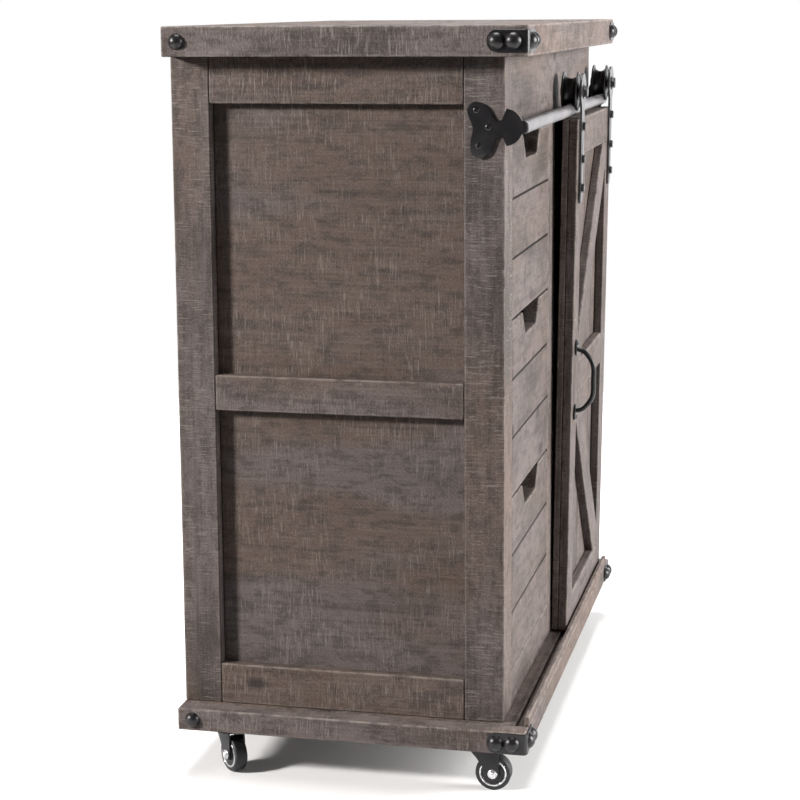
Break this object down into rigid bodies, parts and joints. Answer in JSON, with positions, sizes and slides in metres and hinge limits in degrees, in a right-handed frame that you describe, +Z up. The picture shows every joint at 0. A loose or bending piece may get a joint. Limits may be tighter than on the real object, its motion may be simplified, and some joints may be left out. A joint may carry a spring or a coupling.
{
  "type": "rustic bar cart with drawers and a sliding barn door",
  "caption": "Rustic wooden cart on swivel casters: notched drawers at the left, a cupboard at the right behind a braced barn door that slides on a round rod.",
  "frame": {"origin": "middle of the whole outline, on the floor under the wheels", "axes": "+Z up, the drawers and the door face -Y, the drawers are on the -X side"},
  "size_m": [0.808, 0.4667, 0.928],
  "materials": {
    "weathered_wood": "grey-brown distressed stain with saw marks, matt",
    "inner_wood": "plain stained boards, matt",
    "black_steel": "black gloss paint",
    "rod_steel": "black gloss paint",
    "caster_tyre": "black rubber tyre on a plastic hub"
  },
  "bodies": {
    "cabinet": {"top_board": "weathered_wood", "base_board": "weathered_wood", "door_guide": "weathered_wood", "front_post_left": "weathered_wood", "rear_post_left": "weathered_wood", "left_top_rail": "weathered_wood", "left_mid_rail": "weathered_wood", "left_bottom_rail": "weathered_wood", "left_panel": "weathered_wood", "front_post_right": "weathered_wood", "rear_post_right": "weathered_wood", "right_top_rail": "weathered_wood", "right_mid_rail": "weathered_wood", "right_bottom_rail": "weathered_wood", "right_panel": "weathered_wood", "front_top_rail": "weathered_wood", "front_bottom_rail": "weathered_wood", "mid_post": "weathered_wood", "floor_panel": "inner_wood", "back_panel": "inner_wood", "shelf": "inner_wood", "divider_panel": "inner_wood", "rod": "rod_steel", "rod_plate_left": "black_steel", "strap_top_left": "black_steel", "strap_base_left": "black_steel", "rod_plate_right": "black_steel", "strap_top_right": "black_steel", "strap_base_right": "black_steel", "caster_plate_front_left": "black_steel", "caster_plate_front_right": "black_steel", "caster_plate_rear_left": "black_steel", "caster_plate_rear_right": "black_steel"},
    "door": {"door_panel": "weathered_wood", "door_stile_left": "weathered_wood", "door_stile_right": "weathered_wood", "door_rail_top": "weathered_wood", "door_rail_mid": "weathered_wood", "door_rail_bottom": "weathered_wood", "door_brace_upper": "weathered_wood", "door_brace_lower": "weathered_wood", "hanger_left": "black_steel", "hanger_right": "black_steel", "handle": "black_steel"},
    "door_roller_left": {"roller_left": "black_steel"},
    "door_roller_right": {"roller_right": "black_steel"},
    "drawer_1": {"drawer_front_1": "weathered_wood", "drawer_box_1": "inner_wood"},
    "drawer_2": {"drawer_front_2": "weathered_wood", "drawer_box_2": "inner_wood"},
    "drawer_3": {"drawer_front_3": "weathered_wood", "drawer_box_3": "inner_wood"},
    "swivel_front_left": {"caster_fork_front_left": "black_steel"},
    "wheel_front_left": {"caster_wheel_front_left": "caster_tyre"},
    "swivel_front_right": {"caster_fork_front_right": "black_steel"},
    "wheel_front_right": {"caster_wheel_front_right": "caster_tyre"},
    "swivel_rear_left": {"caster_fork_rear_left": "black_steel"},
    "wheel_rear_left": {"caster_wheel_rear_left": "caster_tyre"},
    "swivel_rear_right": {"caster_fork_rear_right": "black_steel"},
    "wheel_rear_right": {"caster_wheel_rear_right": "caster_tyre"}
  },
  "joints": [
    {"name": "door_slide", "type": "slide", "parent": "cabinet", "child": "door", "axis": [1, 0, 0], "range_m": [-0.362, 0]},
    {"name": "roller_spin_left", "type": "hinge", "parent": "door", "child": "door_roller_left", "pos_m": [0.03, -0.19508, 0.8353], "axis": [0, 0.9999, 0.0157], "continuous": true},
    {"name": "roller_spin_right", "type": "hinge", "parent": "door", "child": "door_roller_right", "pos_m": [0.334, -0.19508, 0.8353], "axis": [0, 0.9999, 0.0157], "continuous": true},
    {"name": "drawer_slide_1", "type": "slide", "parent": "cabinet", "child": "drawer_1", "axis": [0, -1, 0], "range_m": [0, 0.3]},
    {"name": "drawer_slide_2", "type": "slide", "parent": "cabinet", "child": "drawer_2", "axis": [0, -1, 0], "range_m": [0, 0.3]},
    {"name": "drawer_slide_3", "type": "slide", "parent": "cabinet", "child": "drawer_3", "axis": [0, -1, 0], "range_m": [0, 0.3]},
    {"name": "caster_swivel_front_left", "type": "hinge", "parent": "cabinet", "child": "swivel_front_left", "pos_m": [-0.359, -0.15018, 0.053], "axis": [0, 0, 1], "continuous": true},
    {"name": "wheel_roll_front_left", "type": "hinge", "parent": "swivel_front_left", "child": "wheel_front_left", "pos_m": [-0.359, -0.16118, 0.022], "axis": [1, 0, 0], "continuous": true},
    {"name": "caster_swivel_front_right", "type": "hinge", "parent": "cabinet", "child": "swivel_front_right", "pos_m": [0.359, -0.15018, 0.053], "axis": [0, 0, 1], "continuous": true},
    {"name": "wheel_roll_front_right", "type": "hinge", "parent": "swivel_front_right", "child": "wheel_front_right", "pos_m": [0.3645, -0.15971, 0.022], "axis": [0.866, 0.5, 0], "continuous": true},
    {"name": "caster_swivel_rear_left", "type": "hinge", "parent": "cabinet", "child": "swivel_rear_left", "pos_m": [-0.359, 0.17782, 0.053], "axis": [0, 0, 1], "continuous": true},
    {"name": "wheel_roll_rear_left", "type": "hinge", "parent": "swivel_rear_left", "child": "wheel_rear_left", "pos_m": [-0.36678, 0.17004, 0.022], "axis": [0.7071, -0.7071, 0], "continuous": true},
    {"name": "caster_swivel_rear_right", "type": "hinge", "parent": "cabinet", "child": "swivel_rear_right", "pos_m": [0.359, 0.17782, 0.053], "axis": [0, 0, 1], "continuous": true},
    {"name": "wheel_roll_rear_right", "type": "hinge", "parent": "swivel_rear_right", "child": "wheel_rear_right", "pos_m": [0.36678, 0.17004, 0.022], "axis": [0.7071, 0.7071, 0], "continuous": true}
  ],
  "couplings": [
    {"joint": "roller_spin_left", "follows": "door_slide", "rad_per_m": 58.824},
    {"joint": "roller_spin_right", "follows": "door_slide", "rad_per_m": 58.824}
  ]
}
